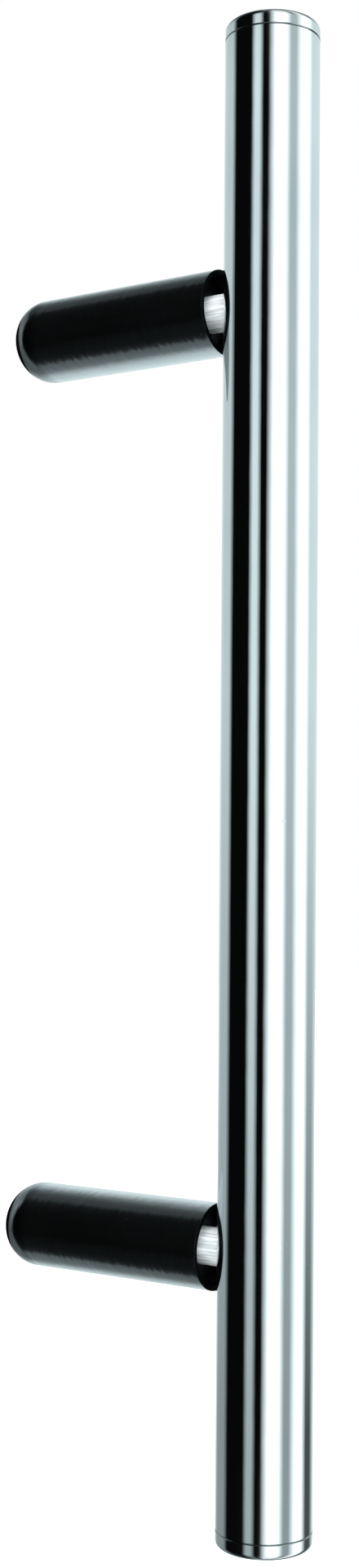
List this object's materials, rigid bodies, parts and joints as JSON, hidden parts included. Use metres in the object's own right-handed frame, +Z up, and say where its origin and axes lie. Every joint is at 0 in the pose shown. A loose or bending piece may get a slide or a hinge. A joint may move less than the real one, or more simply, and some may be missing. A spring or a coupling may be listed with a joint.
{
  "type": "door pull handle",
  "caption": "Straight round bar pull handle in polished steel, carried on round posts that bolt through a door from behind.",
  "frame": {"origin": "midway between the two door fixings, on the door's face", "axes": "+Z up along the grip bar, +Y into the door, +X to the right for someone facing the door"},
  "size_m": [0.0254, 0.0924, 0.4],
  "materials": {
    "polished_steel": "mirror polished stainless steel",
    "turned_steel": "as turned",
    "plated_steel": "zinc plated"
  },
  "bodies": {
    "root": {"grip_tube": "polished_steel", "upper_end_cap": "polished_steel", "lower_end_cap": "polished_steel", "upper_post": "polished_steel", "lower_post": "polished_steel", "upper_fixing_bush": "turned_steel", "lower_fixing_bush": "turned_steel", "upper_tube_nut": "turned_steel", "lower_tube_nut": "turned_steel", "tie_screws": "plated_steel", "lock_washers": "plated_steel"}
  },
  "joints": []
}
